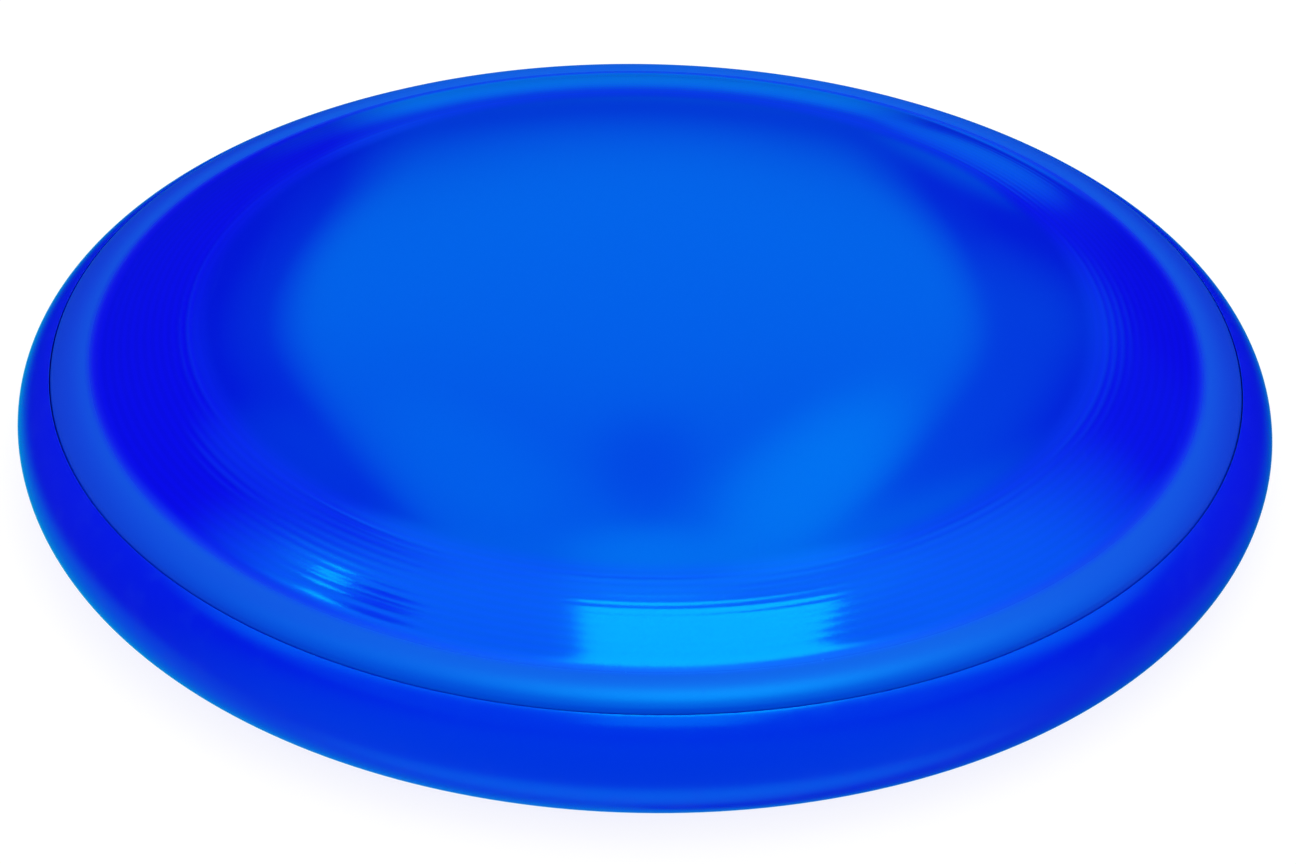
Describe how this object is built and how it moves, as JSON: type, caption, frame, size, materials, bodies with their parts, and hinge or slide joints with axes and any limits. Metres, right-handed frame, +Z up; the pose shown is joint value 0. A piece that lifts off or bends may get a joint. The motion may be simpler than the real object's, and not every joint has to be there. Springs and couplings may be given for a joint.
{
  "type": "flying disc",
  "caption": "Round throwing disc with a shallow domed top, fine concentric flight ridges and a thick rounded grip rim that curls in underneath to a resting lip.",
  "frame": {"origin": "centre of the flat ring under the lip that the disc rests on", "axes": "+Z up along the disc's axis of symmetry, out of the domed top; +X and +Y lie in the rest plane and the disc is the same all the way round"},
  "size_m": [0.273, 0.273, 0.032],
  "materials": {
    "plate_plastic": "saturated blue, glossy injection-moulded polyethylene",
    "rim_plastic": "the same blue, a slightly softer and less glossy grade for grip"
  },
  "bodies": {
    "root": {"flight_plate": "plate_plastic", "grip_rim": "rim_plastic"}
  },
  "joints": []
}
